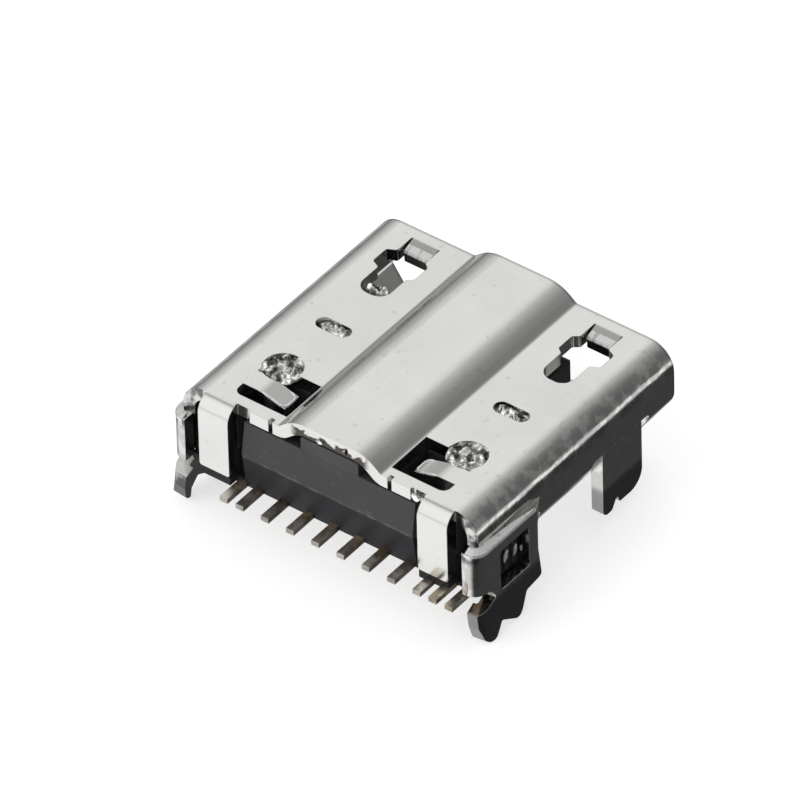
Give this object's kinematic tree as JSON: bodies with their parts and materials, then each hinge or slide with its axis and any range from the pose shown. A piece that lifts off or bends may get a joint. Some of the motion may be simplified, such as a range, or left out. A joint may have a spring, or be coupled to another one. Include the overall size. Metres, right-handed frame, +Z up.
{
  "type": "charging port connector",
  "caption": "Board-edge charging and data port for a phone: a folded steel shell with latch windows and solder legs round a moulded tongue with spaced contacts.",
  "frame": {"origin": "middle of the housing's flat seat on the board, in the middle of the shell's width", "axes": "+Z up from the board, -Y out of the mouth where the plug enters, +Y towards the solder tails, X across the width"},
  "size_m": [0.0082, 0.0073, 0.0035],
  "materials": {
    "shell_steel": "satin nickel-plated stainless sheet",
    "housing_resin": "matte black moulded resin",
    "contact_alloy": "thin gold over copper alloy"
  },
  "bodies": {
    "root": {"shell": "shell_steel", "housing": "housing_resin", "contact_01": "contact_alloy", "contact_02": "contact_alloy", "contact_03": "contact_alloy", "contact_04": "contact_alloy", "contact_05": "contact_alloy", "contact_06": "contact_alloy", "contact_07": "contact_alloy", "contact_08": "contact_alloy", "contact_09": "contact_alloy", "contact_10": "contact_alloy", "contact_11": "contact_alloy"}
  },
  "joints": []
}
